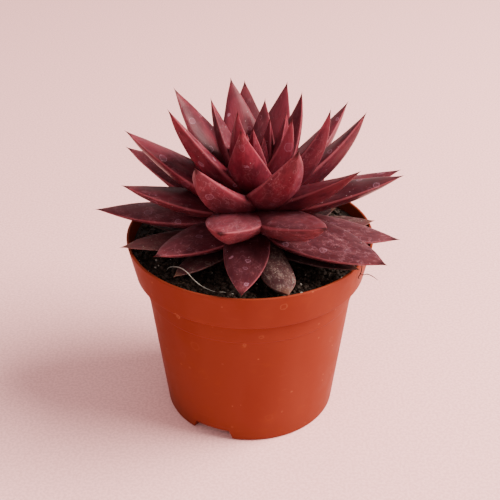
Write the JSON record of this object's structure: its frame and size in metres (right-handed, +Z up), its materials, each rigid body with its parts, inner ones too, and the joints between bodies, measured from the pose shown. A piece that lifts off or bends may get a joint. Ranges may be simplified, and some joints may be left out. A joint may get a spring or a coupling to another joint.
{
  "type": "potted echeveria",
  "caption": "Rosette succulent with thick pointed red leaves, rooted in dark soil in a tapered plastic nursery pot with a deep rim.",
  "frame": {"origin": "middle of the pot's foot, on the surface it stands on", "axes": "+Z up along the pot's axis, -Y towards the front of the picture's view, +X to its right"},
  "size_m": [0.1296, 0.1228, 0.1462],
  "materials": {
    "pot_plastic": "satin",
    "potting_soil": "matte",
    "old_leaf": "matte",
    "living_leaf": "satin"
  },
  "bodies": {
    "root": {"pot": "pot_plastic", "soil": "potting_soil", "stem_with_old_leaves": "old_leaf", "rosette": "living_leaf"}
  },
  "joints": []
}
